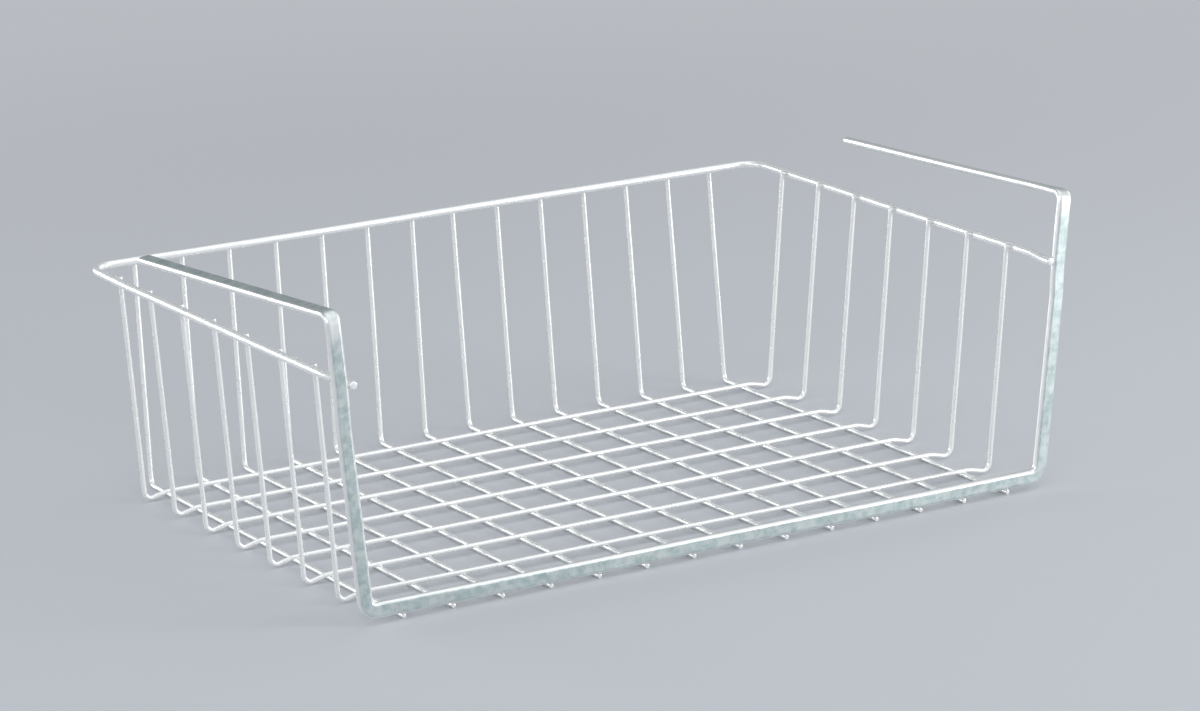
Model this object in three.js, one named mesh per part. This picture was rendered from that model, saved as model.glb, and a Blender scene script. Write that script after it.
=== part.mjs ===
// Under shelf basket: a welded wire basket that hangs on a shelf board by two flat arms.
// Millimetres, +Z up, the open front faces -Y. The origin is on the resting plane,
// under the middle of the basket. Nothing on it moves: every piece is welded to the next.
import * as THREE from 'three';

// Overall sizes. Depth is from the front face of the strip to the back of the rim, and height
// from the resting plane to the top of the rim. The shelf slot is the clear height that the
// arms leave above the rim at their cut ends, where they come lowest.
const basketWidth = 400;
const basketDepth = 262;
const basketHeight = 116.5;
const shelfSlot = 19.8;

// Stock that the basket is made of
const wireDiameter = 2.4;
const rimDiameter = 4;
const stripWidth = 7.5;
const stripThickness = 3.5;
const stripEdgeRadius = 1.2;
// Gap left at each weld, between one piece and the next
const weldGap = 0.2;

// Rim. Behind each upright its end is jogged in, to lie against the upright's inner edge.
const rimCornerRadius = 12;
const rimFrontOverrun = 0.5;
const rimJog = 2.4;
const rimJogInset = 6;
const rimJogLength = 16;
const rimJogRadius = 12;

// Cross wires: a line of the floor and of both side walls. The floor's sides stand in from
// the rim's outside, and the first and last wire from the front and from the rim's back.
const crossWireCount = 7;
const firstCrossWireInset = 35.9;
const lastCrossWireInset = 31.7;
const floorSideInset = 14.6;
const crossWireDip = 2.9;
const crossWireBendRadius = 4;
const crossWireDipRadius = 20;
const crossWireTopBelowRim = 0.6;

// Floor and back wires: a line of the floor and of the back wall. The floor's back stands in
// from the rim's back, and the outermost wires from the floor's sides.
const floorBackWireCount = 14;
const outerWireInset = 14.45;
const floorBackInset = 10;
const floorBackWireBendRadius = 4;
const floorBackWireFrontInset = 1;
const floorBackWireTopBelowRim = 1.5;

// Hanger frame: front rail, uprights and arms. The rail's ends stand in from the rim's outside.
const railEndInset = 9.7;
const railBendRadius = 7.5;
const armReach = 184;
const armDroopDegrees = 2.9;
const armBendRadius = 4.2;

// Facets
const wireSides = 12;
const rimSides = 16;
const stripEdgeFacets = 3;
const bendStepDegrees = 15;
const dipStepDegrees = 5;

// Places that the sizes give. Z is counted from the axis of the floor and back wires here.
const wireRadius = wireDiameter / 2;
const rimRadius = rimDiameter / 2;
const restZ = -wireRadius;
const crossWireZ = wireDiameter + weldGap;
const railZ = wireRadius + weldGap + stripWidth / 2;
const rimTopZ = restZ + basketHeight;
const rimZ = rimTopZ - rimRadius;
const rimX = basketWidth / 2 - rimRadius;
const rimFrontX = rimX - rimJog;
const rimBackY = basketDepth - rimRadius;
const stripY = stripThickness / 2;
const armDroop = THREE.MathUtils.degToRad(armDroopDegrees);
const armDrop = (armReach - stripY) * Math.tan(armDroop);
const shoulderZ = rimTopZ + shelfSlot + armDrop + stripThickness / 2;
const floorX = basketWidth / 2 - floorSideInset;
const floorBackY = basketDepth - floorBackInset;
const outerWireX = floorX - outerWireInset;
const crossWireRun = basketDepth - firstCrossWireInset - lastCrossWireInset;
const crossWirePitch = crossWireRun / (crossWireCount - 1);
const floorBackWirePitch = (2 * outerWireX) / (floorBackWireCount - 1);

const coatedWire = { color: 0xeef1ee, roughness: 0.3, metalness: 0.5 };
const coatedStrip = { color: 0xdfe5e0, roughness: 0.3, metalness: 0.5 };

// A route of straight runs joined by arcs, with a ring of the swept section at each end of the
// route and along each arc only. corners is a list of { at, radius, stepDegrees }, where the
// first and last have no radius. side is the section's x direction where the route starts.
class BentRoute extends THREE.Curve {
  constructor(corners, side) {
    super();
    this.stations = [];
    this.side = side.clone();
    const last = corners.length - 1;
    this.addStation(corners[0].at, directionTo(corners[0].at, corners[1].at));
    for (let index = 1; index < last; index += 1) {
      const before = directionTo(corners[index - 1].at, corners[index].at);
      const after = directionTo(corners[index].at, corners[index + 1].at);
      this.addArc(corners[index], before, after);
    }
    this.addStation(corners[last].at, directionTo(corners[last - 1].at, corners[last].at));
  }

  addStation(point, tangent) {
    this.stations.push({ point, tangent, side: this.side.clone() });
  }

  // The arc's centre lies on the inner side of the corner, and the section turns about it
  addArc({ at, radius, stepDegrees }, before, after) {
    const turn = before.angleTo(after);
    const axis = new THREE.Vector3().crossVectors(before, after).normalize();
    const inward = new THREE.Vector3().crossVectors(axis, before);
    const centre = at.clone();
    centre.addScaledVector(before, -radius * Math.tan(turn / 2));
    centre.addScaledVector(inward, radius);
    const steps = Math.ceil(turn / THREE.MathUtils.degToRad(stepDegrees));
    const sideBefore = this.side.clone();
    for (let step = 0; step <= steps; step += 1) {
      const angle = (turn * step) / steps;
      const spoke = inward.clone().multiplyScalar(-radius).applyAxisAngle(axis, angle);
      this.side.copy(sideBefore).applyAxisAngle(axis, angle);
      this.addStation(centre.clone().add(spoke), before.clone().applyAxisAngle(axis, angle));
    }
  }

  get steps() {
    return this.stations.length - 1;
  }

  station(u) {
    return this.stations[Math.round(u * this.steps)];
  }

  getPointAt(u, target = new THREE.Vector3()) {
    return target.copy(this.station(u).point);
  }

  getTangentAt(u, target = new THREE.Vector3()) {
    return target.copy(this.station(u).tangent);
  }

  computeFrenetFrames() {
    const tangents = this.stations.map(({ tangent }) => tangent);
    const normals = this.stations.map(({ side }) => side);
    const binormals = this.stations.map(({ tangent, side }) => tangent.clone().cross(side));
    return { tangents, normals, binormals };
  }
}

function directionTo(from, to) {
  return new THREE.Vector3().subVectors(to, from).normalize();
}

// A regular polygon with its corners on the circle and flat sides towards x and y
function roundSection(radius, sides) {
  const shape = new THREE.Shape();
  const corners = [];
  for (let side = 0; side < sides; side += 1) {
    const angle = ((side + 0.5) / sides) * 2 * Math.PI;
    corners.push(new THREE.Vector2(radius * Math.cos(angle), radius * Math.sin(angle)));
  }
  return shape.setFromPoints(corners);
}

// The strip's section, its width along x and its thickness along y, with rounded edges
function stripSection() {
  const x = stripWidth / 2 - stripEdgeRadius;
  const y = stripThickness / 2 - stripEdgeRadius;
  const quarter = Math.PI / 2;
  const shape = new THREE.Shape();
  shape.absarc(x, y, stripEdgeRadius, 0, quarter);
  shape.absarc(-x, y, stripEdgeRadius, quarter, 2 * quarter);
  shape.absarc(-x, -y, stripEdgeRadius, 2 * quarter, 3 * quarter);
  shape.absarc(x, -y, stripEdgeRadius, 3 * quarter, 4 * quarter);
  return shape;
}

function sweep(name, section, route, finish, curveSegments = 1) {
  const geometry = new THREE.ExtrudeGeometry(section, {
    steps: route.steps,
    extrudePath: route,
    curveSegments,
  });
  const mesh = new THREE.Mesh(geometry, new THREE.MeshStandardMaterial(finish));
  mesh.name = name;
  return mesh;
}

// The rim runs from the front of the left side, round the back, to the front of the right side
function rimWire() {
  const corner = (x, y, radius) => ({
    at: new THREE.Vector3(x, y, rimZ),
    radius,
    stepDegrees: bendStepDegrees,
  });
  const half = (side) => [
    corner(side * rimFrontX, -rimFrontOverrun),
    corner(side * rimFrontX, rimJogInset, rimJogRadius),
    corner(side * rimX, rimJogInset + rimJogLength, rimJogRadius),
    corner(side * rimX, rimBackY, rimCornerRadius),
  ];
  const corners = [...half(-1), ...half(1).reverse()];
  const route = new BentRoute(corners, new THREE.Vector3(0, 0, 1));
  return sweep('rim_wire', roundSection(rimRadius, rimSides), route, coatedWire);
}

// A cross wire leans out up each wall to the inside of the rim. Past the outermost floor wire
// it dips, so that its corners stand almost as low as the wires that it lies on.
function crossWire(index) {
  const y = firstCrossWireInset + index * crossWirePitch;
  const cornerZ = crossWireZ - crossWireDip;
  const rimSeatX = rimX - rimRadius - weldGap - wireRadius;
  const lean = (rimSeatX - floorX) / (rimZ - cornerZ);
  const topZ = rimTopZ - crossWireTopBelowRim;
  const topX = rimSeatX + lean * (topZ - rimZ);
  const dipX = outerWireX + wireDiameter;
  const wall = (side) => [
    { at: new THREE.Vector3(side * topX, y, topZ) },
    {
      at: new THREE.Vector3(side * floorX, y, cornerZ),
      radius: crossWireBendRadius,
      stepDegrees: bendStepDegrees,
    },
    {
      at: new THREE.Vector3(side * dipX, y, crossWireZ),
      radius: crossWireDipRadius,
      stepDegrees: dipStepDegrees,
    },
  ];
  const corners = [...wall(-1), ...wall(1).reverse()];
  const route = new BentRoute(corners, new THREE.Vector3(0, 1, 0));
  const section = roundSection(wireRadius, wireSides);
  return sweep(`cross_wire_${index + 1}`, section, route, coatedWire);
}

// A floor and back wire starts under the rail that rests on it, runs to the back of the floor
// and leans out up the back wall to the outside of the rim
function floorBackWire(index) {
  const x = index * floorBackWirePitch - outerWireX;
  const rimSeatY = rimBackY + rimRadius + weldGap + wireRadius;
  const lean = (rimSeatY - floorBackY) / rimZ;
  const topZ = rimTopZ - floorBackWireTopBelowRim;
  const topY = rimSeatY + lean * (topZ - rimZ);
  const corners = [
    { at: new THREE.Vector3(x, floorBackWireFrontInset, 0) },
    {
      at: new THREE.Vector3(x, floorBackY, 0),
      radius: floorBackWireBendRadius,
      stepDegrees: bendStepDegrees,
    },
    { at: new THREE.Vector3(x, topY, topZ) },
  ];
  const route = new BentRoute(corners, new THREE.Vector3(1, 0, 0));
  const number = String(index + 1).padStart(2, '0');
  const section = roundSection(wireRadius, wireSides);
  return sweep(`floor_back_wire_${number}`, section, route, coatedWire);
}

// The hanger frame is one strip. It bends edgewise from the rail up into the uprights, which
// lean out past the rim, and flatwise from the uprights back into the arms, which droop.
function hangerFrame() {
  const railX = basketWidth / 2 - railEndInset;
  const uprightAtRimX = rimFrontX + rimRadius + weldGap + stripWidth / 2;
  const lean = (uprightAtRimX - railX) / (rimZ - railZ);
  const shoulderX = railX + lean * (shoulderZ - railZ);
  const upright = (side) => new THREE.Vector3(side * lean, 0, 1).normalize();
  const arm = (side) => {
    const back = new THREE.Vector3(0, Math.cos(armDroop), 0);
    return back.addScaledVector(upright(side), -Math.sin(armDroop));
  };
  const half = (side) => {
    const shoulder = new THREE.Vector3(side * shoulderX, stripY, shoulderZ);
    const length = (armReach - stripY) / Math.cos(armDroop);
    return [
      { at: shoulder.clone().addScaledVector(arm(side), length) },
      { at: shoulder, radius: armBendRadius, stepDegrees: bendStepDegrees },
      {
        at: new THREE.Vector3(side * railX, stripY, railZ),
        radius: railBendRadius,
        stepDegrees: bendStepDegrees,
      },
    ];
  };
  const corners = [...half(-1), ...half(1).reverse()];
  const acrossArm = upright(-1).cross(arm(-1)).normalize();
  const route = new BentRoute(corners, acrossArm);
  return sweep('hanger_frame', stripSection(), route, coatedStrip, stripEdgeFacets);
}

// Floor facets of the lowest wires lie on the resting plane
const facetDistance = wireRadius * Math.cos(Math.PI / wireSides);
const frontY = -rimFrontOverrun;
const backY = rimBackY + rimRadius + weldGap + wireDiameter;
const basket = new THREE.Group();
basket.position.set(0, -(frontY + backY) / 2, facetDistance);
basket.add(hangerFrame(), rimWire());
for (let index = 0; index < crossWireCount; index += 1) basket.add(crossWire(index));
for (let index = 0; index < floorBackWireCount; index += 1) basket.add(floorBackWire(index));

const part = new THREE.Group();
part.add(basket);
export default part;
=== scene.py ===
"""Under shelf basket: welded wire, silver-white coating, two flat arms. Metres, +Z up.

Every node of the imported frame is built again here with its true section, its rounded cut ends,
the coating that fills each weld, and the finish. y counts from the front face of the strip and
z from the axis of the floor wires until a piece is put in its place.
"""

from math import ceil, cos, pi, radians, sin, tan

import bpy
import numpy as np
from mathutils import Matrix, Vector


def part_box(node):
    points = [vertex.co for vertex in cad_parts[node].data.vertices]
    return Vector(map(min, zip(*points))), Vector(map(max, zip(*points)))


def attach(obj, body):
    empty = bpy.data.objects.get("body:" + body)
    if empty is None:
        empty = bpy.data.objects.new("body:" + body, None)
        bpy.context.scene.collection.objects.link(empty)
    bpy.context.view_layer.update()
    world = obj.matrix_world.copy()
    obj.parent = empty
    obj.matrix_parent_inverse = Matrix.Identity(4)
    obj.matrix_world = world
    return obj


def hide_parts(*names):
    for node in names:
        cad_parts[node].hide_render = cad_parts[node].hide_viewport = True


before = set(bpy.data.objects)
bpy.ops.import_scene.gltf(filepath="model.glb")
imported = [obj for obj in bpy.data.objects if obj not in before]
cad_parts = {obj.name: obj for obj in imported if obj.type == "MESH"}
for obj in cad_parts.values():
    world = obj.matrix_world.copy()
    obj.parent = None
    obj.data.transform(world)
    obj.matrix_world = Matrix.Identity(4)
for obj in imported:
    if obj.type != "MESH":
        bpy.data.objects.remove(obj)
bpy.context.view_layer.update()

# Overall sizes
BASKET_WIDTH = 0.400
BASKET_DEPTH = 0.262
BASKET_HEIGHT = 0.1165
SHELF_SLOT = 0.0198

# Stock
WIRE_RADIUS = 0.0012
RIM_RADIUS = 0.002
STRIP_WIDTH = 0.0075
STRIP_THICKNESS = 0.0035
STRIP_EDGE_RADIUS = 0.0016

# Rounding of the cut ends
WIRE_END_RADIUS = 0.0004
RIM_END_RADIUS = 0.0009
STRIP_END_RADIUS = 0.0007

# Rim
RIM_CORNER_RADIUS = 0.012
RIM_FRONT_OVERRUN = 0.0005
RIM_JOG = 0.0024
RIM_JOG_INSET = 0.006
RIM_JOG_LENGTH = 0.016
RIM_JOG_RADIUS = 0.012

# Cross wires and floor and back wires
FLOOR_SIDE_INSET = 0.0146
FLOOR_BACK_INSET = 0.010
CROSS_WIRE_DIP = 0.0029
CROSS_WIRE_DIP_RADIUS = 0.020
WIRE_BEND_RADIUS = 0.004
CROSS_WIRE_TOP_BELOW_RIM = 0.0006
BACK_WIRE_TOP_BELOW_RIM = 0.0015
FLOOR_WIRE_FRONT_INSET = 0.001

# Hanger frame
RAIL_END_INSET = 0.0097
RAIL_BEND_RADIUS = 0.006
ARM_REACH = 0.184
ARM_DROOP = radians(2.9)
ARM_BEND_RADIUS = 0.0042

# Welds: the gap that the coating fills, how far a bead reaches from its middle at the rods and at
# its waist, how deep it sinks into the rods, and the smaller beads' share of the full size
WELD_GAP = 0.0002
BEAD_REACH = 0.00150
BEAD_WAIST = 0.00088
BEAD_SINK = 0.00006
FLOOR_BEAD_SCALE = 0.8
RAIL_BEAD_SCALE = 0.65
UPRIGHT_BEAD_SCALE = 0.95
RAIL_WELD_SETBACK = 0.0007

# Fineness of the meshes
WIRE_SIDES = 16
RIM_SIDES = 24
STRIP_CORNER_STEPS = 6
FLAT_MARGIN_SHARE = 0.12
ARC_STEP = radians(7)
DIP_STEP = radians(3)
WIRE_RUN_STEP = 0.004
END_STEPS = 5
BEAD_SIDES = 16
BEAD_ROWS = 6

# The frame's wires are prisms of 12 sides that rest on a flat side
FRAME_WIRE_SIDES = 12

# Places that the frame and the sizes give
CROSS_NODES = sorted(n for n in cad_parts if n.startswith("cross_wire"))
FLOOR_BACK_NODES = sorted(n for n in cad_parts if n.startswith("floor_back_wire"))
FRONT_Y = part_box("hanger_frame")[0].y
FLOOR_AXIS_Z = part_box(FLOOR_BACK_NODES[0])[0].z + WIRE_RADIUS * cos(pi / FRAME_WIRE_SIDES)
CROSS_Y = np.array([sum(corner.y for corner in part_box(n)) / 2 for n in CROSS_NODES]) - FRONT_Y
FLOOR_X = np.array([sum(corner.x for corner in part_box(n)) / 2 for n in FLOOR_BACK_NODES])
CROSS_Z = 2 * WIRE_RADIUS + WELD_GAP
RAIL_Z = WIRE_RADIUS + WELD_GAP + STRIP_WIDTH / 2
RIM_TOP_Z = BASKET_HEIGHT - WIRE_RADIUS
RIM_Z = RIM_TOP_Z - RIM_RADIUS
RIM_X = BASKET_WIDTH / 2 - RIM_RADIUS
RIM_FRONT_X = RIM_X - RIM_JOG
RIM_BACK_Y = BASKET_DEPTH - RIM_RADIUS
RIM_SEAT = RIM_RADIUS + WELD_GAP + WIRE_RADIUS
STRIP_Y = STRIP_THICKNESS / 2
ARM_DROP = (ARM_REACH - STRIP_Y) * tan(ARM_DROOP)
SHOULDER_Z = RIM_TOP_Z + SHELF_SLOT + ARM_DROP + STRIP_THICKNESS / 2
FLOOR_CORNER_X = BASKET_WIDTH / 2 - FLOOR_SIDE_INSET
FLOOR_BACK_Y = BASKET_DEPTH - FLOOR_BACK_INSET
RAIL_X = BASKET_WIDTH / 2 - RAIL_END_INSET
RAIL_WELD_Y = STRIP_Y + RAIL_WELD_SETBACK
UPRIGHT_LEAN = (RIM_FRONT_X + RIM_RADIUS + WELD_GAP + STRIP_WIDTH / 2 - RAIL_X) / (RIM_Z - RAIL_Z)
ARM_X = RAIL_X + UPRIGHT_LEAN * (SHOULDER_Z - RAIL_Z)

# Slow change of the coating's thickness along a rod, which starts elsewhere on each rod
COATING_WAVE = 0.000014
SLOW_WAVE_LENGTH = 0.031
QUICK_WAVE_LENGTH = 0.0127
QUICK_WAVE_SHARE = 0.6
SLOW_PHASE_STEP = 2.4
QUICK_PHASE_STEP = 4.08
HANGER_ROD = 1
RIM_ROD = 2
FIRST_CROSS_ROD = 3
FIRST_FLOOR_BACK_ROD = FIRST_CROSS_ROD + len(CROSS_NODES) + 1

# Bows that welding leaves: for the shifts along x, y and z, the two sines' waves in radians per
# metre of x, y and z, their phases, and the share of the bow
WELDING_BOW = 0.00022
BOW_WAVES = np.array([
    [(0, 41, 19), (37, 0, 23), (31, 0, 0)],
    [(23, 0, 0), (0, 17, 0), (0, 29, 0)],
])
BOW_PHASES = np.array([(0.6, 2.0, 0.9), (1.1, 0.4, 1.9)])
BOW_SHARES = np.array([1, 1, 0.5])

# What welding and handling have bent
UPRIGHT_SQUEEZE = 0.00095
LEFT_ARM_DROP = 0.0028
RIGHT_ARM_RISE = 0.0016
RIGHT_ARM_TWIST = radians(12)
RIM_END_DIP = 0.0009
CORNER_SQUEEZE = 0.0012
BACK_RISE = 0.0008
ARM_START_Z = RIM_TOP_Z + 0.002
ARM_START_FADE = 0.012
RIM_END_FADE = 0.022
CORNER_FADE = 0.045
BACK_RISE_REACH = 0.08

# Where the finish changes: round the joints, painted shade on the strip's broad faces, and a painted
# highlight below the shoulders where that shade fades out
JOINT_SPREAD = 0.0022
BROAD_FACE_START = 0.55
# Painted highlight below the shoulders: how far below the shoulder it sits and how wide it spreads
SHOULDER_HIGHLIGHT_DROP = 0.005
SHOULDER_HIGHLIGHT_SPREAD = 0.0062


def unit(vector):
    """The vector divided by its length."""
    return vector / np.linalg.norm(vector, axis=-1, keepdims=True)


def turned(vector, axis, angles):
    """The vector turned about a unit axis by each angle.

    v cos + (axis x v) sin + axis (axis . v)(1 - cos)
    """
    c, s = np.cos(angles)[:, None], np.sin(angles)[:, None]
    return vector * c + np.cross(axis, vector) * s + axis * (axis @ vector) * (1 - c)


def rise(value, start, end):
    """0 before start, 1 after end, and 3t^2 - 2t^3 of the share t of the way between them."""
    t = np.clip((value - start) / (end - start), 0, 1)
    return t * t * (3 - 2 * t)


def nearness(points, places, spread):
    """1 at the nearest of the places, falling off as exp(-(distance / spread)^2)."""
    gaps = points[:, None] - np.asarray(places)
    return np.exp(-(gaps ** 2).sum(axis=2).min(axis=1) / spread ** 2)


# Rods

def bent_route(corners, bends, side, run_step):
    """Stations along straight runs joined by arcs, as rows of points, tangents and sides.

    bends has a (radius, largest step of turn) for each inner corner. A run has equal steps of
    run_step at most. On an arc the spoke from the centre, the tangent and the side all turn
    about the normal of the bend.
    """
    corners = np.asarray(corners, float)
    rows = []

    def run(start, end, tangent, last=0):
        steps = max(1, ceil(np.linalg.norm(end - start) / run_step))
        share = np.linspace(0, 1, steps + 1)[: steps + last, None]
        rows.append((start + (end - start) * share, share * 0 + tangent, share * 0 + side))

    here = corners[0]
    for before_at, at, after_at, (radius, step) in zip(corners, corners[1:], corners[2:], bends):
        before, after = unit(at - before_at), unit(after_at - at)
        turn = np.arccos(before @ after)
        axis = unit(np.cross(before, after))
        inward = np.cross(axis, before)
        start = at - before * radius * tan(turn / 2)
        run(here, start, before)
        angles = np.linspace(0, turn, ceil(turn / step) + 1)
        spokes = start + inward * radius + turned(-inward * radius, axis, angles)
        sides = turned(side, axis, angles)
        rows.append((spokes[:-1], turned(before, axis, angles)[:-1], sides[:-1]))
        here, side = spokes[-1], sides[-1]
    run(here, corners[-1], unit(corners[-1] - here), last=1)
    return [np.concatenate(column) for column in zip(*rows)]


def with_rounded_ends(route, end_radius):
    """The route with END_STEPS more stations in each end, and each station's inset there.

    A station at distance d from its end is inset by e - sqrt(e^2 - (e - d)^2), where e is
    end_radius, so the cut end has a round edge.
    """
    points, tangents, sides = route
    sweep = np.linspace(0, pi / 2, END_STEPS + 1)[:, None]
    depth = end_radius * (1 - np.cos(sweep))
    first = points[0] + tangents[0] * depth
    final = points[-1] - tangents[-1] * depth[::-1]
    points = np.concatenate([first, points[1:-1], final])
    ends = sweep * 0
    tangents = np.concatenate([ends + tangents[0], tangents[1:-1], ends + tangents[-1]])
    sides = np.concatenate([ends + sides[0], sides[1:-1], ends + sides[-1]])
    inset = np.zeros(len(points))
    inset[: len(ends)] = end_radius * (1 - np.sin(sweep[:, 0]))
    inset[-len(ends):] = inset[: len(ends)][::-1]
    return points, tangents, sides, inset


def round_section(radius, sides):
    """A circle: no core, and an outward direction for each side."""
    angle = 2 * pi * np.arange(sides) / sides
    out = np.stack([np.cos(angle), np.sin(angle)], axis=1)
    return np.zeros_like(out), out, radius


def strip_section():
    """The rolled strip: a core rectangle whose points go out by the edge radius.

    Each corner turns out from one broad or narrow face to the next in equal steps, and each
    face has two more points just inside its ends, which keep it flat in the shading.
    """
    half = np.array([STRIP_WIDTH, STRIP_THICKNESS]) / 2 - STRIP_EDGE_RADIUS
    core, out = [], []
    for corner, signs in enumerate(((1, 1), (-1, 1), (-1, -1), (1, -1))):
        angle = pi / 2 * (corner + np.linspace(0, 1, STRIP_CORNER_STEPS + 1))
        angle = np.concatenate([angle[:1], angle, angle[-1:]])
        at = np.tile(half * signs, (len(angle), 1))
        along = np.array([[cos(angle[0]), sin(angle[0])], [cos(angle[-1]), sin(angle[-1])]])
        slip = np.abs(along[:, ::-1]) * half * np.array(signs) * FLAT_MARGIN_SHARE
        at[0] -= slip[0]
        at[-1] -= slip[1]
        core.append(at)
        out.append(np.stack([np.cos(angle), np.sin(angle)], axis=1))
    return np.concatenate(core), np.concatenate(out), STRIP_EDGE_RADIUS


def closed_grid_faces(rows, columns):
    """Quads between rings and a fan to a pole at each end. The poles come after the rings.

    Gives the faces' corners, one face after another, and each face's number of corners.
    """
    row, column = np.meshgrid(np.arange(rows - 1), np.arange(columns), indexing="ij")
    nearby = (column + 1) % columns
    here, above = row * columns, (row + 1) * columns
    quads = np.stack([here + column, here + nearby, above + nearby, above + column], axis=-1)
    ring = np.arange(columns)
    turned_ring = (ring + 1) % columns
    pole = ring * 0 + rows * columns
    top = (rows - 1) * columns
    first = np.stack([pole, turned_ring, ring], axis=1)
    final = np.stack([pole + 1, top + ring, top + turned_ring], axis=1)
    sizes = np.repeat([4, 3], [(rows - 1) * columns, 2 * columns])
    return np.concatenate([quads.ravel(), first.ravel(), final.ravel()]), sizes


def coating_waves(distance, rod):
    """Slow change of the coating's thickness along a rod: two sines of its length."""
    slow = np.sin(distance * 2 * pi / SLOW_WAVE_LENGTH + rod * SLOW_PHASE_STEP)
    quick = np.sin(distance * 2 * pi / QUICK_WAVE_LENGTH + rod * QUICK_PHASE_STEP)
    return COATING_WAVE * (slow + QUICK_WAVE_SHARE * quick)


def swept_rod(route, section, end_radius, rod):
    """A section carried along a route and closed at both ends.

    A point is station + side * x + (tangent x side) * y, where (x, y) is the section's core
    plus its outward direction times its radius, less the end's inset, plus the coating's wave.
    The rod as it was before bending, (distance, x, y), goes along as its straightened place.
    broad is 1 where the outward direction is that of a broad face, and fades to 0 at its edges; it marks
    where painted shade goes on the strip.
    """
    points, tangents, sides, inset = with_rounded_ends(route, end_radius)
    core, out, radius = section
    gaps = np.linalg.norm(np.diff(points, axis=0), axis=1)
    distance = np.concatenate([[0], np.cumsum(gaps)])
    reach = radius - inset + coating_waves(distance, rod)
    offset = core + reach[:, None, None] * out
    normals = np.cross(tangents, sides)
    skin = points[:, None] + offset[..., :1] * sides[:, None] + offset[..., 1:] * normals[:, None]
    along = np.broadcast_to(distance[:, None, None], offset[..., :1].shape)
    straight = np.concatenate([along, offset], axis=-1)
    poles = np.array([[distance[0], 0, 0], [distance[-1], 0, 0]])
    broad = np.broadcast_to(rise(out[:, 1] ** 2, BROAD_FACE_START, 1), skin.shape[:2]).ravel()
    corners, sizes = closed_grid_faces(*skin.shape[:2])
    return {
        "points": np.concatenate([skin.reshape(-1, 3), points[[0, -1]]]),
        "corners": corners,
        "sizes": sizes,
        "straightened": np.concatenate([straight.reshape(-1, 3), poles]),
        "broad": np.concatenate([broad, [0, 0]]),
    }


# Welds

def weld_beads(middles, normal, lower, upper, scale=1.0):
    """Coating drawn into the joints of crossing rods: a ring round each joint's normal.

    lower and upper are the (axis, radius) of the two rods, and the normal points from the lower
    to the upper one. The ring's two edges are a circle of BEAD_REACH wrapped onto the rods, sunk
    a little into them. Between them each column is a parabola through the waist,
    (1 - t)^2 low + 2t(1 - t) pull + t^2 high, so the bead is a concave saddle. Poles on the rods'
    axes close it.
    """
    middles = np.asarray(middles, float).reshape(-1, 3)
    normal = unit(np.asarray(normal, float))
    first = unit(np.asarray(lower[0], float))
    second = np.cross(normal, first)
    angle = 2 * pi * np.arange(BEAD_SIDES) / BEAD_SIDES
    around = np.cos(angle)[:, None] * first + np.sin(angle)[:, None] * second
    reach = BEAD_REACH * scale

    def wrapped(axis, radius, up):
        """The circle on one rod: straight along the axis, and wound round the rod across it."""
        axis = unit(np.asarray(axis, float))
        across = np.cross(normal, axis)
        turn = (around @ across)[:, None] * reach / radius
        spoke = np.sin(turn) * across - np.cos(turn) * up * normal
        centre = up * normal * (WELD_GAP / 2 + radius)
        along = (around @ axis)[:, None] * reach * axis
        return centre + along + spoke * (radius - BEAD_SINK)

    low, high = wrapped(*lower, -1), wrapped(*upper, 1)
    waist = around * BEAD_WAIST * scale
    pull = 2 * waist - (low + high) / 2
    t = np.linspace(0, 1, BEAD_ROWS)[:, None, None]
    rows = (1 - t) ** 2 * low + 2 * t * (1 - t) * pull + t ** 2 * high
    poles = np.outer([-WELD_GAP / 2 - lower[1], WELD_GAP / 2 + upper[1]], normal)
    bead = np.concatenate([rows.reshape(-1, 3), poles])
    points = (middles[:, None] + bead).reshape(-1, 3)
    corners, sizes = closed_grid_faces(BEAD_ROWS, BEAD_SIDES)
    starts = np.arange(len(middles))[:, None] * len(bead)
    return {
        "points": points,
        "corners": (starts + corners).ravel(),
        "sizes": np.tile(sizes, len(middles)),
        "straightened": points,
        "broad": np.zeros(len(points)),
    }


def joined(parts):
    """Several shapes as one: points follow each other, and the faces' corners count on."""
    starts = np.cumsum([0] + [len(part["points"]) for part in parts[:-1]])
    counted_on = [dict(part, corners=part["corners"] + start) for part, start in zip(parts, starts)]
    return {key: np.concatenate([part[key] for part in counted_on]) for key in parts[0]}


# Middles of the welds

def floor_joints(y):
    """Between a cross wire and each floor wire."""
    level = WIRE_RADIUS + WELD_GAP / 2
    return np.stack([FLOOR_X, FLOOR_X * 0 + y, FLOOR_X * 0 + level], axis=1)


def rim_side_joint(side, y):
    """Between the rim's side and the wall line of a cross wire."""
    return np.array([side * (RIM_X - RIM_RADIUS - WELD_GAP / 2), y, RIM_Z])


def rim_back_joint(x):
    """Between the rim's back and a back wire."""
    return np.array([x, RIM_BACK_Y + RIM_RADIUS + WELD_GAP / 2, RIM_Z])


def rail_joint(x):
    """Between a floor wire and the front rail above it."""
    return np.array([x, RAIL_WELD_Y, WIRE_RADIUS + WELD_GAP / 2])


def upright_joint(side):
    """Between the rim's end and an upright."""
    return np.array([side * (RIM_FRONT_X + RIM_RADIUS + WELD_GAP / 2), STRIP_Y, RIM_Z])


# Bends of the finished basket

def bowed(points):
    """The small bows that welding leaves.

    Along each axis a point shifts by bow * share * sin(waves . point + phase) of the first
    sine times the same of the second.
    """
    sines = [np.sin(points @ waves.T + phases) for waves, phases in zip(BOW_WAVES, BOW_PHASES)]
    return points + WELDING_BOW * BOW_SHARES * sines[0] * sines[1]


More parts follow.
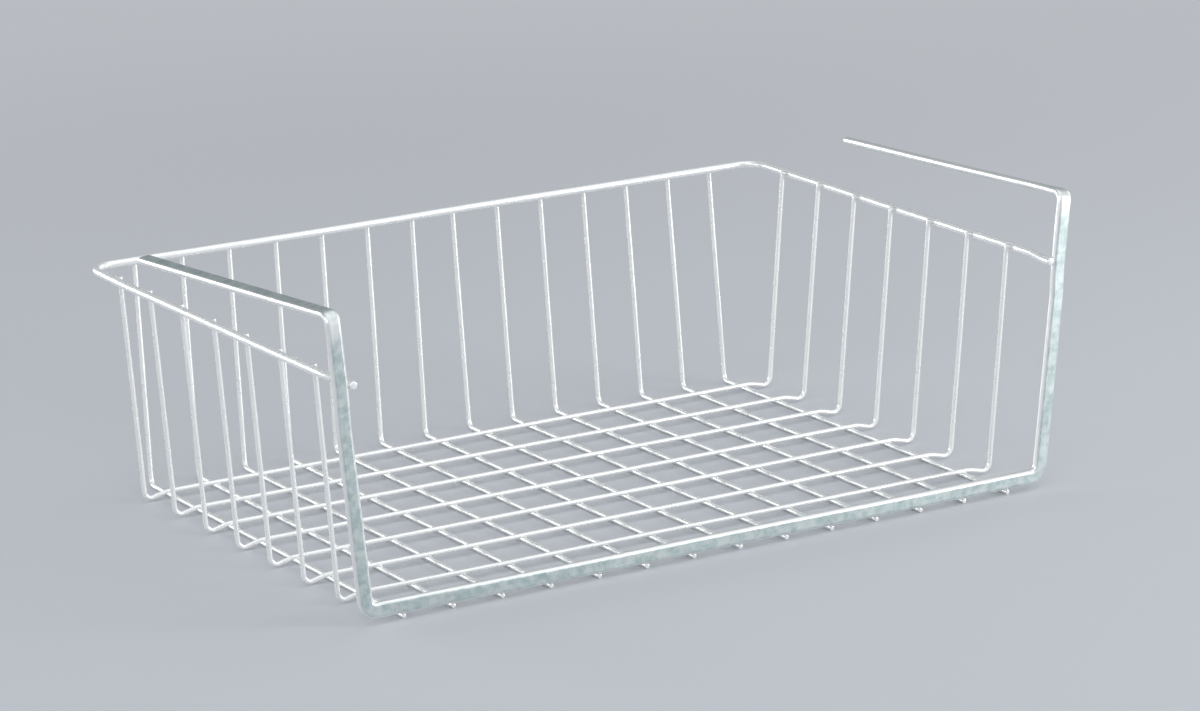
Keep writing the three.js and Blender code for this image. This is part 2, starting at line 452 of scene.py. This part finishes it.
def handled(points):
    """Bends of a millimetre or two that the real basket has on one side and not on the other.

    Above the rim the uprights lean in, less and less along the arms. The left arm hangs lower
    towards its tip, and the right one higher and turned about its length. The rim's left end dips,
    its back corners lie closer together, and its back rises to the right.
    """
    x, y, z = points.T
    side = np.sign(x)
    right = side > 0
    on_arm = rise(z, ARM_START_Z, ARM_START_Z + ARM_START_FADE)
    fade_end = RIM_END_FADE + (ARM_REACH - RIM_END_FADE) * on_arm
    front = 1 - rise(y, 0, fade_end)
    at_rim = rise(z, RIM_Z - RIM_END_FADE, RIM_Z)
    along = y / ARM_REACH

    squeeze = UPRIGHT_SQUEEZE * at_rim * front
    corner_squeeze = CORNER_SQUEEZE * rise(y, RIM_BACK_Y - CORNER_FADE, RIM_BACK_Y) * z / RIM_Z
    twist = np.where(right, RIGHT_ARM_TWIST, 0) * on_arm * rise(y, 0, RIM_END_FADE)
    arm_z = SHOULDER_Z - y * tan(ARM_DROOP)
    shift_x = twist * (z - arm_z) - side * (squeeze + corner_squeeze)

    hang = np.where(right, RIGHT_ARM_RISE, -LEFT_ARM_DROP) * on_arm * along
    dip = np.where(right, 0, RIM_END_DIP) * at_rim * (1 - on_arm) * front
    back_rise = BACK_RISE * rise(x, -BACK_RISE_REACH, BACK_RISE_REACH) * z / RIM_Z
    back_rise = back_rise * rise(y, RIM_BACK_Y - CORNER_FADE, RIM_BACK_Y)
    shift_z = hang - dip + back_rise - twist * (x - ARM_X)
    return points + np.stack([shift_x, x * 0, shift_z], axis=1)


def in_place(points):
    """From the basket's own y and z to the frame's."""
    return bowed(handled(points)) + np.array([0, FRONT_Y, FLOOR_AXIS_Z])


# Routes of the four kinds of piece

def rim_route():
    """A U from the left end to the right one, with a jog inwards at both ends."""
    jog = [(RIM_FRONT_X, RIM_JOG_INSET), (RIM_X, RIM_JOG_INSET + RIM_JOG_LENGTH)]
    half = [(RIM_FRONT_X, -RIM_FRONT_OVERRUN)] + jog + [(RIM_X, RIM_BACK_Y)]
    plan = [(-x, y) for x, y in half] + half[::-1]
    radii = [RIM_JOG_RADIUS, RIM_JOG_RADIUS, RIM_CORNER_RADIUS]
    bends = [(radius, ARC_STEP) for radius in radii + radii[::-1]]
    return bent_route([(x, y, RIM_Z) for x, y in plan], bends, np.array([0.0, 0, 1]), WIRE_RUN_STEP)


def cross_wire_lean():
    """Run out to the side for each rise, from the floor's corner to the inside of the rim."""
    return (RIM_X - RIM_SEAT - FLOOR_CORNER_X) / (RIM_Z - CROSS_Z + CROSS_WIRE_DIP)


def cross_wire_route(y):
    """A U: wall, floor corner, floor line, floor corner, wall. The corners dip below the floor."""
    top = RIM_TOP_Z - CROSS_WIRE_TOP_BELOW_RIM
    top_x = RIM_X - RIM_SEAT + cross_wire_lean() * (top - RIM_Z)
    dip_x = FLOOR_X.max() + 2 * WIRE_RADIUS
    half = [(top_x, top), (FLOOR_CORNER_X, CROSS_Z - CROSS_WIRE_DIP), (dip_x, CROSS_Z)]
    outline = [(-x, z) for x, z in half] + half[::-1]
    corner, dip = (WIRE_BEND_RADIUS, ARC_STEP), (CROSS_WIRE_DIP_RADIUS, DIP_STEP)
    corners = [(x, y, z) for x, z in outline]
    return bent_route(corners, [corner, dip, dip, corner], np.array([0.0, 1, 0]), WIRE_RUN_STEP)


def back_wire_lean():
    """Run to the back for each rise, from the floor's back to the outside of the rim."""
    return (RIM_BACK_Y + RIM_SEAT - FLOOR_BACK_Y) / RIM_Z


def floor_back_wire_route(x):
    """An L: the floor line from the front, and the line up the back wall."""
    top = RIM_TOP_Z - BACK_WIRE_TOP_BELOW_RIM
    top_y = RIM_BACK_Y + RIM_SEAT + back_wire_lean() * (top - RIM_Z)
    corners = [(x, FLOOR_WIRE_FRONT_INSET, 0), (x, FLOOR_BACK_Y, 0), (x, top_y, top)]
    return bent_route(corners, [(WIRE_BEND_RADIUS, ARC_STEP)], np.array([1.0, 0, 0]), WIRE_RUN_STEP)


def hanger_route():
    """Arm, upright, rail, upright, arm, with the strip's width across each of them."""
    length = (ARM_REACH - STRIP_Y) / cos(ARM_DROOP)

    def upright(side):
        return unit(np.array([side * UPRIGHT_LEAN, 0, 1]))

    def arm(side):
        return np.array([0, cos(ARM_DROOP), 0]) - upright(side) * sin(ARM_DROOP)

    def half(side):
        shoulder = np.array([side * ARM_X, STRIP_Y, SHOULDER_Z])
        return [shoulder + arm(side) * length, shoulder, np.array([side * RAIL_X, STRIP_Y, RAIL_Z])]

    shoulder_bend, rail_bend = (ARM_BEND_RADIUS, ARC_STEP), (RAIL_BEND_RADIUS, ARC_STEP)
    bends = [shoulder_bend, rail_bend, rail_bend, shoulder_bend]
    across = unit(np.cross(upright(-1), arm(-1)))
    return bent_route(half(-1) + half(1)[::-1], bends, across, WIRE_RUN_STEP)


# Finishes

WIRE_LIGHT = (0.94, 0.95, 0.94, 1)
WIRE_DULL = (0.89, 0.91, 0.90, 1)
WIRE_WELD = (0.55, 0.55, 0.50, 1)
RIM_LIGHT = (0.93, 0.94, 0.94, 1)
RIM_DULL = (0.86, 0.88, 0.88, 1)
STRIP_LIGHT = (0.93, 0.94, 0.93, 1)
STRIP_DULL = (0.88, 0.90, 0.89, 1)
# Painted shade and reflection: the darker grey-green that the strip's broad faces are painted
STRIP_BROAD_PAINTED_SHADE = (0.43, 0.53, 0.525, 1)
STRIP_WELD = (0.52, 0.52, 0.47, 1)
WIRE_METALLIC = 0.45
WIRE_ROUGHNESS = 0.24
STRIP_METALLIC = 0.78
STRIP_ROUGHNESS = 0.35
CLOUD_LEVELS = {"Size": 0.012, "Low": 0.35, "High": 0.7}
CLOUD_ROUGHNESS = 0.06
CLOUD_DETAIL = 3.0
FLECK_LEVELS = {"Size": 0.0035, "Low": 0.3, "High": 0.75}
FLECK_SHARE = 0.48
SOIL_SHARE = 0.4
SWELL_SIZES = {"Swell size": 0.009, "Swell height": 0.000012}
SWELL_DETAIL = 1.0
PEEL_SIZES = {"Peel size": 0.0007, "Peel height": 0.000001}
PEEL_DETAIL = 2.0

# Places of the factor, the two colours and the result among the sockets of a colour mix
MIX_FACTOR = 0
MIX_FIRST = 6
MIX_SECOND = 7
MIX_RESULT = 2


def shader_node(tree, kind, inputs=None, **settings):
    """A new node with its settings, and its inputs as values or as links from other nodes."""
    made = tree.nodes.new(kind)
    for name, value in settings.items():
        setattr(made, name, value)
    for key, value in (inputs or {}).items():
        if isinstance(value, bpy.types.NodeSocket):
            tree.links.new(value, made.inputs[key])
        else:
            made.inputs[key].default_value = value
    return made


def math_node(tree, operation, *values):
    """The result of one operation on its values."""
    return shader_node(tree, "ShaderNodeMath", dict(enumerate(values)), operation=operation).outputs[0]


def placed_group(tree, group, inputs):
    """A node group's first output, with its inputs as values or as links."""
    return shader_node(tree, "ShaderNodeGroup", inputs, node_tree=group).outputs[0]


def mixed_colour(tree, share, first, second):
    """The first colour at share 0, the second at share 1, and in between a mix."""
    inputs = {MIX_FACTOR: share, MIX_FIRST: first, MIX_SECOND: second}
    return shader_node(tree, "ShaderNodeMix", inputs, data_type="RGBA").outputs[MIX_RESULT]


def attribute(tree, name, output):
    """One of the piece's own attributes."""
    return shader_node(tree, "ShaderNodeAttribute", attribute_name=name).outputs[output]


def node_group(name, inputs, outputs):
    """An empty shader group with its named sockets, as (tree, inputs, output node)."""
    tree = bpy.data.node_groups.new(name, "ShaderNodeTree")
    for label, kind in inputs:
        tree.interface.new_socket(label, in_out="INPUT", socket_type=kind)
    for label, kind in outputs:
        tree.interface.new_socket(label, in_out="OUTPUT", socket_type=kind)
    return tree, tree.nodes.new("NodeGroupInput").outputs, tree.nodes.new("NodeGroupOutput")


def noise_value(tree, place, size, detail):
    """Noise of about 0 to 1 with lumps of a size in metres."""
    scale = math_node(tree, "DIVIDE", 1.0, size)
    inputs = {"Vector": place, "Scale": scale, "Detail": detail}
    return shader_node(tree, "ShaderNodeTexNoise", inputs).outputs["Fac"]


def coating_relief_group():
    """Height of the coating's surface in metres: slow swells and a fine orange peel."""
    value, vector = "NodeSocketFloat", "NodeSocketVector"
    labels = [("Place", vector), ("Swell size", value), ("Swell height", value)]
    labels += [("Peel size", value), ("Peel height", value)]
    tree, given, result = node_group("coating_relief", labels, [("Height", value)])
    swell = noise_value(tree, given["Place"], given["Swell size"], SWELL_DETAIL)
    peel = noise_value(tree, given["Place"], given["Peel size"], PEEL_DETAIL)
    swell = math_node(tree, "MULTIPLY", swell, given["Swell height"])
    peel = math_node(tree, "MULTIPLY", peel, given["Peel height"])
    tree.links.new(math_node(tree, "ADD", swell, peel), result.inputs["Height"])
    return tree


def cloud_group():
    """A soft mask of clouds: noise stretched between two levels."""
    value, vector = "NodeSocketFloat", "NodeSocketVector"
    labels = [("Place", vector), ("Size", value), ("Low", value), ("High", value)]
    tree, given, result = node_group("cloud_mask", labels, [("Mask", value)])
    noise = noise_value(tree, given["Place"], given["Size"], CLOUD_DETAIL)
    inputs = {"Value": noise, "From Min": given["Low"], "From Max": given["High"]}
    mask = shader_node(tree, "ShaderNodeMapRange", inputs, interpolation_type="SMOOTHSTEP")
    tree.links.new(mask.outputs["Result"], result.inputs["Mask"])
    return tree


GROUPS = {"relief": coating_relief_group(), "cloud": cloud_group()}


def coating(name, light, dull, broad_painted_shade, joint_tint, metallic, roughness):
    """Satin coating: clouds of tone, painted shade on the broad faces, darker welds, a gentle relief."""
    material = bpy.data.materials.new(name)
    material.use_nodes = True
    tree = material.node_tree
    surface = tree.nodes["Principled BSDF"]
    place = attribute(tree, "straightened", "Vector")
    object_place = shader_node(tree, "ShaderNodeTexCoord").outputs["Object"]
    joint = attribute(tree, "joint", "Fac")
    broad = attribute(tree, "broad", "Fac")

    clouds = placed_group(tree, GROUPS["cloud"], dict(CLOUD_LEVELS, Place=object_place))
    colour = mixed_colour(tree, clouds, light, dull)
    # Painted shade: the broad faces are painted towards the broad shade colour, broken up by the flecks
    flecks = placed_group(tree, GROUPS["cloud"], dict(FLECK_LEVELS, Place=place))
    fleck_cover = math_node(tree, "MULTIPLY_ADD", flecks, FLECK_SHARE, 1 - FLECK_SHARE)
    colour = mixed_colour(tree, math_node(tree, "MULTIPLY", broad, fleck_cover), colour, broad_painted_shade)
    soil = math_node(tree, "MULTIPLY", flecks, SOIL_SHARE)
    colour = mixed_colour(tree, math_node(tree, "MULTIPLY", joint, soil), colour, joint_tint)
    tree.links.new(colour, surface.inputs["Base Color"])

    rough = math_node(tree, "MULTIPLY_ADD", clouds, CLOUD_ROUGHNESS, roughness)
    tree.links.new(rough, surface.inputs["Roughness"])
    surface.inputs["Metallic"].default_value = metallic

    height = placed_group(tree, GROUPS["relief"], dict(SWELL_SIZES, **PEEL_SIZES, Place=place))
    bump = shader_node(tree, "ShaderNodeBump", {"Height": height, "Distance": 1.0})
    tree.links.new(bump.outputs["Normal"], surface.inputs["Normal"])
    return material


WIRE_COATING = coating(
    "silver_white_wire", WIRE_LIGHT, WIRE_DULL, WIRE_LIGHT, WIRE_WELD, WIRE_METALLIC, WIRE_ROUGHNESS,
)
RIM_COATING = coating(
    "silver_white_rim", RIM_LIGHT, RIM_DULL, RIM_LIGHT, WIRE_WELD, WIRE_METALLIC, WIRE_ROUGHNESS,
)
STRIP_COATING = coating(
    "silver_white_strip", STRIP_LIGHT, STRIP_DULL, STRIP_BROAD_PAINTED_SHADE, STRIP_WELD, STRIP_METALLIC, STRIP_ROUGHNESS,
)


# Pieces

def mesh_from_arrays(name, points, corners, sizes):
    """A mesh of points and faces: the faces' corners one after another, and how many each has."""
    mesh = bpy.data.meshes.new(name)
    mesh.vertices.add(len(points))
    mesh.vertices.foreach_set("co", points.astype(np.float32).ravel())
    mesh.loops.add(len(corners))
    mesh.loops.foreach_set("vertex_index", corners.astype(np.int32))
    mesh.polygons.add(len(sizes))
    mesh.polygons.foreach_set("loop_start", (np.cumsum(sizes) - sizes).astype(np.int32))
    mesh.update(calc_edges=True)
    return mesh


def coated_piece(name, node, shape, joints, material):
    """A finished piece that stands for one node of the frame."""
    mesh = mesh_from_arrays(name, in_place(shape["points"]), shape["corners"], shape["sizes"])
    mesh.shade_smooth()
    straight = mesh.attributes.new("straightened", "FLOAT_VECTOR", "POINT")
    straight.data.foreach_set("vector", shape["straightened"].astype(np.float32).ravel())
    values = {"broad": shape["broad"], "joint": nearness(shape["points"], joints, JOINT_SPREAD)}
    for label, value in values.items():
        mask = mesh.attributes.new(label, "FLOAT", "POINT")
        mask.data.foreach_set("value", value.astype(np.float32))
    mesh.materials.append(material)
    made = bpy.data.objects.new(name, mesh)
    bpy.context.scene.collection.objects.link(made)
    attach(made, "root")
    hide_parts(node)


def build_hanger():
    """The strip, whose painted shade on the broad faces gives way to a painted highlight just below the
    shoulders.
    """
    joints = [rail_joint(x) for x in FLOOR_X] + [upright_joint(side) for side in (-1, 1)]
    strip = swept_rod(hanger_route(), strip_section(), STRIP_END_RADIUS, HANGER_ROD)
    # Painted highlight: below the shoulders the broad faces' painted shade fades out, so the bends are
    # painted light
    shoulders = [(side * ARM_X, STRIP_Y, SHOULDER_Z - SHOULDER_HIGHLIGHT_DROP) for side in (-1, 1)]
    strip["broad"] = strip["broad"] * (1 - nearness(strip["points"], shoulders, SHOULDER_HIGHLIGHT_SPREAD))
    coated_piece("coated_hanger_frame", "hanger_frame", strip, joints, STRIP_COATING)


def build_rim():
    """The rim with the beads that hold it to the two uprights."""
    x_axis, y_axis = np.eye(3)[:2]
    parts = [swept_rod(rim_route(), round_section(RIM_RADIUS, RIM_SIDES), RIM_END_RADIUS, RIM_ROD)]
    for side in (-1, 1):
        rim = (y_axis, RIM_RADIUS)
        upright = ((side * UPRIGHT_LEAN, 0, 1), STRIP_THICKNESS / 2)
        parts.append(weld_beads(upright_joint(side), x_axis * side, rim, upright, UPRIGHT_BEAD_SCALE))
    joints = [rim_side_joint(side, y) for side in (-1, 1) for y in CROSS_Y]
    joints += [rim_back_joint(x) for x in FLOOR_X] + [upright_joint(side) for side in (-1, 1)]
    coated_piece("coated_rim", "rim_wire", joined(parts), joints, RIM_COATING)


def build_cross_wire(node, y, rod):
    """A cross wire with its beads on the floor wires and inside the rim."""
    x_axis, y_axis, z_axis = np.eye(3)
    section = round_section(WIRE_RADIUS, WIRE_SIDES)
    parts = [swept_rod(cross_wire_route(y), section, WIRE_END_RADIUS, rod)]
    floor_wire, cross_wire = (y_axis, WIRE_RADIUS), (x_axis, WIRE_RADIUS)
    parts.append(weld_beads(floor_joints(y), z_axis, floor_wire, cross_wire, FLOOR_BEAD_SCALE))
    joints = list(floor_joints(y))
    for side in (-1, 1):
        joint = rim_side_joint(side, y)
        rim, wall = (y_axis, RIM_RADIUS), ((side * cross_wire_lean(), 0, 1), WIRE_RADIUS)
        parts.append(weld_beads(joint, -side * x_axis, rim, wall))
        joints.append(joint)
    coated_piece(f"coated_{node}", node, joined(parts), joints, WIRE_COATING)


def build_floor_back_wire(node, x, rod):
    """A floor and back wire with its beads under the rail and behind the rim."""
    x_axis, y_axis, z_axis = np.eye(3)
    section = round_section(WIRE_RADIUS, WIRE_SIDES)
    parts = [swept_rod(floor_back_wire_route(x), section, WIRE_END_RADIUS, rod)]
    rim, wall = (x_axis, RIM_RADIUS), ((0, back_wire_lean(), 1), WIRE_RADIUS)
    parts.append(weld_beads(rim_back_joint(x), y_axis, rim, wall))
    floor_wire, rail = (y_axis, WIRE_RADIUS), (x_axis, STRIP_THICKNESS / 2)
    parts.append(weld_beads(rail_joint(x), z_axis, floor_wire, rail, RAIL_BEAD_SCALE))
    joints = [np.array([x, y, WIRE_RADIUS]) for y in CROSS_Y] + [rim_back_joint(x), rail_joint(x)]
    coated_piece(f"coated_{node}", node, joined(parts), joints, WIRE_COATING)


build_hanger()
build_rim()
for rod, (node, y) in enumerate(zip(CROSS_NODES, CROSS_Y), FIRST_CROSS_ROD):
    build_cross_wire(node, y, rod)
for rod, (node, x) in enumerate(zip(FLOOR_BACK_NODES, FLOOR_X), FIRST_FLOOR_BACK_ROD):
    build_floor_back_wire(node, x, rod)


# Floor, light and camera

FLOOR_COLOUR = (0.56, 0.58, 0.615, 1)
FLOOR_FAR_COLOUR = (0.48, 0.50, 0.535, 1)
FLOOR_ROUGHNESS = 0.9
FLOOR_FADE_START = 0.35
FLOOR_FADE_END = 1.3
FLOOR_RADIUS = 30.0
FLOOR_SIDES = 96
FLOOR_Z = FLOOR_AXIS_Z - WIRE_RADIUS - WELDING_BOW / 2

# Each softbox's place, width, height and watts. All of them face LIGHT_AIM
SOFTBOXES = {
    "top_softbox": ((0.35, -0.35, 1.75), 1.9, 1.9, 10.8),
    "left_softbox": ((-1.15, 1.7, 0.36), 1.2, 0.65, 17),
    "side_softbox": ((-1.95, -0.35, 0.7), 1.2, 1.2, 9.2),
    "right_softbox": ((1.5, -1.4, 0.3), 0.55, 0.55, 21.5),
    "high_right_softbox": ((1.3, -1.6, 1.25), 1.1, 1.1, 4.3),
    "back_softbox": ((1.95, 0.35, 0.5), 0.8, 0.8, 9.2),
    "front_softbox": ((-1.2, -1.8, 1.3), 1.6, 1.6, 13.6),
}
LIGHT_AIM = (0, 0, 0.06)
STUDIO_COLOUR = (0.90, 0.95, 1.0, 1)
STUDIO_STRENGTH = 0.31

# The camera's place comes from a fit of the straight wires to their lines in the picture
IMAGE_WIDTH = 1200
FOCAL_PIXELS = 4775.4
SENSOR_WIDTH = 36.0
CAMERA_AZIMUTH = radians(32.111)
CAMERA_ELEVATION = radians(15.177)
CAMERA_ROLL = radians(-0.719)
CAMERA_DISTANCE = 2.37966
CAMERA_TARGET = np.array([0.03083, 0.02068, 0.05860])


def floor_finish():
    """Matt near the basket. Farther off, eyes and reflections see it at one even pale tone."""
    material = bpy.data.materials.new("pale_floor")
    material.use_nodes = True
    tree = material.node_tree
    surface = tree.nodes["Principled BSDF"]
    surface.inputs["Base Color"].default_value = FLOOR_COLOUR
    surface.inputs["Roughness"].default_value = FLOOR_ROUGHNESS
    surface.inputs["Specular IOR Level"].default_value = 0.0

    path = shader_node(tree, "ShaderNodeLightPath").outputs
    reflected = math_node(tree, "ADD", path["Is Glossy Ray"], path["Is Transmission Ray"])
    seen = math_node(tree, "ADD", path["Is Camera Ray"], reflected)
    place = shader_node(tree, "ShaderNodeTexCoord").outputs["Object"]
    distance = shader_node(tree, "ShaderNodeVectorMath", {0: place}, operation="LENGTH").outputs["Value"]
    reach = {"Value": distance, "From Min": FLOOR_FADE_START, "From Max": FLOOR_FADE_END}
    far = shader_node(tree, "ShaderNodeMapRange", reach, interpolation_type="SMOOTHSTEP").outputs["Result"]
    even = shader_node(tree, "ShaderNodeEmission", {"Color": FLOOR_FAR_COLOUR, "Strength": 1.0})
    shares = {0: math_node(tree, "MULTIPLY", seen, far), 1: surface.outputs[0], 2: even.outputs[0]}
    mixed = shader_node(tree, "ShaderNodeMixShader", shares)
    tree.links.new(mixed.outputs[0], tree.nodes["Material Output"].inputs["Surface"])
    return material


def pale_floor():
    """A wide disc just under the lowest wires."""
    angle = 2 * pi * np.arange(FLOOR_SIDES) / FLOOR_SIDES
    ring = np.stack([np.cos(angle), np.sin(angle)], axis=1) * FLOOR_RADIUS
    points = np.concatenate([ring, np.full((FLOOR_SIDES, 1), FLOOR_Z)], axis=1)
    mesh = mesh_from_arrays("pale_floor", points, np.arange(FLOOR_SIDES), np.array([FLOOR_SIDES]))
    mesh.materials.append(floor_finish())
    floor = bpy.data.objects.new("pale_floor", mesh)
    bpy.context.scene.collection.objects.link(floor)


def softbox(name, place, width, height, power):
    """An area lamp that faces LIGHT_AIM."""
    lamp = bpy.data.lights.new(name, "AREA")
    lamp.shape = "RECTANGLE"
    lamp.size = width
    lamp.size_y = height
    lamp.energy = power
    made = bpy.data.objects.new(name, lamp)
    made.location = place
    made.rotation_euler = (Vector(LIGHT_AIM) - Vector(place)).to_track_quat("-Z", "Y").to_euler()
    bpy.context.scene.collection.objects.link(made)


def soft_light():
    """The softboxes, and a faint cool light from all round."""
    for name, settings in SOFTBOXES.items():
        softbox(name, *settings)
    world = bpy.data.worlds.new("studio")
    world.use_nodes = True
    background = world.node_tree.nodes["Background"]
    background.inputs["Color"].default_value = STUDIO_COLOUR
    background.inputs["Strength"].default_value = STUDIO_STRENGTH
    bpy.context.scene.world = world


def photo_camera():
    """Looks at the target from the front left, with its right and up turned by the roll."""
    level = cos(CAMERA_ELEVATION)
    back = np.array([-sin(CAMERA_AZIMUTH) * level, -cos(CAMERA_AZIMUTH) * level, sin(CAMERA_ELEVATION)])
    right = unit(np.cross(-back, [0, 0, 1]))
    up = np.cross(right, -back)
    c, s = cos(CAMERA_ROLL), sin(CAMERA_ROLL)
    axes = np.stack([c * right + s * up, c * up - s * right, back], axis=1)
    pose = np.eye(4)
    pose[:3, :3] = axes
    pose[:3, 3] = CAMERA_TARGET + back * CAMERA_DISTANCE
    camera = bpy.data.cameras.new("photo_camera")
    camera.sensor_width = SENSOR_WIDTH
    camera.lens = FOCAL_PIXELS * SENSOR_WIDTH / IMAGE_WIDTH
    made = bpy.data.objects.new("photo_camera", camera)
    made.matrix_world = Matrix(pose.tolist())
    bpy.context.scene.collection.objects.link(made)
    bpy.context.scene.camera = made


pale_floor()
soft_light()
photo_camera()
bpy.context.scene.view_settings.view_transform = "Standard"
